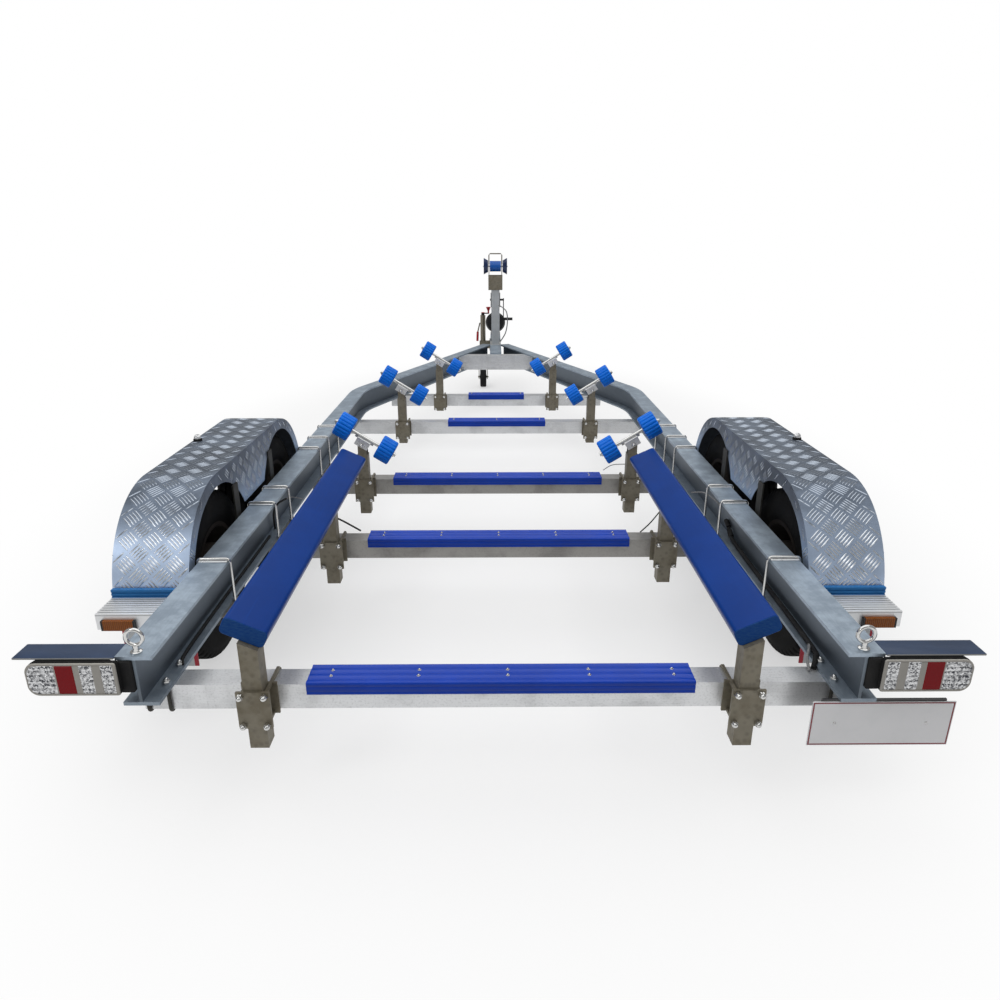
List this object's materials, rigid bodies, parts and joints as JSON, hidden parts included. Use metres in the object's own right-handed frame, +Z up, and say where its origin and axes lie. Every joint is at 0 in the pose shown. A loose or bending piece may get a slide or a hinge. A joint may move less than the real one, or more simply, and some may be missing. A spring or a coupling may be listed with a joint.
{
  "type": "boat trailer",
  "caption": "Tandem-axle boat trailer with bent I-beam rails, tilted bunks, wobble rollers, keel slides, mudguards, a bow post and a jockey wheel.",
  "frame": {"origin": "centre of the footprint on the ground", "axes": "+Z up, +Y forward towards the coupling, +X to the right seen from behind"},
  "size_m": [2.444, 6.496, 1.285],
  "materials": {
    "rail_aluminium": "brushed, blue-grey",
    "bright_aluminium": "bright mill finish",
    "stained_aluminium": "dull, stained",
    "treadplate": "bright raised-bar plate",
    "galvanised": "dull hot-dip galvanised",
    "zinc_steel": "zinc plated",
    "post_paint": "blue-grey",
    "slide_plastic": "glossy royal blue",
    "bunk_plastic": "deep blue, matt",
    "roller_plastic": "bright blue",
    "tyre_rubber": "matt black",
    "rim_paint": "silver",
    "black_paint": "satin black",
    "black_rubber": "matt black",
    "flap_plastic": "pale, red edge",
    "lamp_red": "red lens",
    "lamp_amber": "amber lens",
    "strip_blue": "azure blue, ridged",
    "board_blue": "dark blue",
    "plate_white": "blank white",
    "chrome": "bright"
  },
  "bodies": {
    "trailer": {"rail_right": "rail_aluminium", "rail_left": "rail_aluminium", "crossmembers_bright": "bright_aluminium", "crossmembers_dark": "stained_aluminium", "front_member": "bright_aluminium", "keel_slides": "slide_plastic", "drawbar": "rail_aluminium", "coupling": "zinc_steel", "winch_post": "post_paint", "bow_bracket": "galvanised", "winch_frame": "black_paint", "brake_booster": "black_paint", "jockey_clamp": "galvanised", "bunk_right": "bunk_plastic", "bunk_left": "bunk_plastic", "bunk_posts": "galvanised", "roller_posts_right": "galvanised", "roller_posts_left": "galvanised", "rail_clamps": "zinc_steel", "mount_plates": "galvanised", "arms_rear": "galvanised", "arms_front": "galvanised", "guard_right": "treadplate", "guard_left": "treadplate", "guard_brackets": "galvanised", "steps": "bright_aluminium", "step_strips": "strip_blue", "side_lamps": "lamp_amber", "mudflaps": "flap_plastic", "lamp_boards": "board_blue", "tail_lamps": "lamp_red", "number_plate": "plate_white", "eye_bolts": "chrome"},
    "road_wheel_rear_left": {"tyre_rear_left": "tyre_rubber", "wheel_rear_left": "rim_paint"},
    "road_wheel_rear_right": {"tyre_rear_right": "tyre_rubber", "wheel_rear_right": "rim_paint"},
    "road_wheel_front_left": {"tyre_front_left": "tyre_rubber", "wheel_front_left": "rim_paint"},
    "road_wheel_front_right": {"tyre_front_right": "tyre_rubber", "wheel_front_right": "rim_paint"},
    "cradle_rear_left": {"cradle_rear_left": "galvanised"},
    "rollers_rear_left": {"rollers_rear_left": "roller_plastic"},
    "cradle_rear_right": {"cradle_rear_right": "galvanised"},
    "rollers_rear_right": {"rollers_rear_right": "roller_plastic"},
    "cradle_middle_left": {"cradle_middle_left": "galvanised"},
    "rollers_middle_left": {"rollers_middle_left": "roller_plastic"},
    "cradle_middle_right": {"cradle_middle_right": "galvanised"},
    "rollers_middle_right": {"rollers_middle_right": "roller_plastic"},
    "cradle_front_left": {"cradle_front_left": "galvanised"},
    "rollers_front_left": {"rollers_front_left": "roller_plastic"},
    "cradle_front_right": {"cradle_front_right": "galvanised"},
    "rollers_front_right": {"rollers_front_right": "roller_plastic"},
    "bow_roller": {"bow_roller": "roller_plastic"},
    "winch_drum": {"winch_drum": "black_paint"},
    "jockey_leg": {"jockey_leg": "galvanised"},
    "jockey_fork": {"jockey_fork": "galvanised"},
    "jockey_wheel": {"jockey_wheel": "black_rubber"}
  },
  "joints": [
    {"name": "spin_rear_left", "type": "hinge", "parent": "trailer", "child": "road_wheel_rear_left", "pos_m": [-1.1, -2.37, 0.305], "axis": [1, 0, 0], "continuous": true},
    {"name": "spin_rear_right", "type": "hinge", "parent": "trailer", "child": "road_wheel_rear_right", "pos_m": [1.1, -2.37, 0.305], "axis": [1, 0, 0], "continuous": true},
    {"name": "spin_front_left", "type": "hinge", "parent": "trailer", "child": "road_wheel_front_left", "pos_m": [-1.1, -1.598, 0.305], "axis": [1, 0, 0], "continuous": true},
    {"name": "spin_front_right", "type": "hinge", "parent": "trailer", "child": "road_wheel_front_right", "pos_m": [1.1, -1.598, 0.305], "axis": [1, 0, 0], "continuous": true},
    {"name": "tilt_rear_left", "type": "hinge", "parent": "trailer", "child": "cradle_rear_left", "pos_m": [-0.642, -1.404, 0.523], "axis": [0, -1, 0], "range_deg": [-8, 36]},
    {"name": "roll_rear_left", "type": "hinge", "parent": "cradle_rear_left", "child": "rollers_rear_left", "pos_m": [-0.6261, -1.404, 0.54844], "axis": [-0.848, 0, 0.5299], "continuous": true},
    {"name": "tilt_rear_right", "type": "hinge", "parent": "trailer", "child": "cradle_rear_right", "pos_m": [0.642, -1.404, 0.523], "axis": [0, 1, 0], "range_deg": [-8, 36]},
    {"name": "roll_rear_right", "type": "hinge", "parent": "cradle_rear_right", "child": "rollers_rear_right", "pos_m": [0.6261, -1.404, 0.54844], "axis": [0.848, 0, 0.5299], "continuous": true},
    {"name": "tilt_middle_left", "type": "hinge", "parent": "trailer", "child": "cradle_middle_left", "pos_m": [-0.59, -0.25, 0.546], "axis": [0, -1, 0], "range_deg": [-8, 36]},
    {"name": "roll_middle_left", "type": "hinge", "parent": "cradle_middle_left", "child": "rollers_middle_left", "pos_m": [-0.5741, -0.25, 0.57144], "axis": [-0.848, 0, 0.5299], "continuous": true},
    {"name": "tilt_middle_right", "type": "hinge", "parent": "trailer", "child": "cradle_middle_right", "pos_m": [0.59, -0.25, 0.546], "axis": [0, 1, 0], "range_deg": [-8, 36]},
    {"name": "roll_middle_right", "type": "hinge", "parent": "cradle_middle_right", "child": "rollers_middle_right", "pos_m": [0.5741, -0.25, 0.57144], "axis": [0.848, 0, 0.5299], "continuous": true},
    {"name": "tilt_front_left", "type": "hinge", "parent": "trailer", "child": "cradle_front_left", "pos_m": [-0.41, 0.553, 0.58], "axis": [0, -1, 0], "range_deg": [-8, 36]},
    {"name": "roll_front_left", "type": "hinge", "parent": "cradle_front_left", "child": "rollers_front_left", "pos_m": [-0.3941, 0.553, 0.60544], "axis": [-0.848, 0, 0.5299], "continuous": true},
    {"name": "tilt_front_right", "type": "hinge", "parent": "trailer", "child": "cradle_front_right", "pos_m": [0.41, 0.553, 0.58], "axis": [0, 1, 0], "range_deg": [-8, 36]},
    {"name": "roll_front_right", "type": "hinge", "parent": "cradle_front_right", "child": "rollers_front_right", "pos_m": [0.3941, 0.553, 0.60544], "axis": [0.848, 0, 0.5299], "continuous": true},
    {"name": "bow_roll", "type": "hinge", "parent": "trailer", "child": "bow_roller", "pos_m": [0, 2.23, 1.172], "axis": [1, 0, 0], "continuous": true},
    {"name": "winch_turn", "type": "hinge", "parent": "trailer", "child": "winch_drum", "pos_m": [0, 2.3325, 0.87], "axis": [1, 0, 0], "continuous": true},
    {"name": "jockey_slide", "type": "slide", "parent": "trailer", "child": "jockey_leg", "axis": [0, 0, 1], "range_m": [-0.12, 0.1]},
    {"name": "jockey_swivel", "type": "hinge", "parent": "jockey_leg", "child": "jockey_fork", "pos_m": [-0.122, 2.64, 0.23], "axis": [0, 0, 1], "continuous": true},
    {"name": "jockey_spin", "type": "hinge", "parent": "jockey_fork", "child": "jockey_wheel", "pos_m": [-0.122, 2.606, 0.1], "axis": [1, 0, 0], "continuous": true}
  ]
}
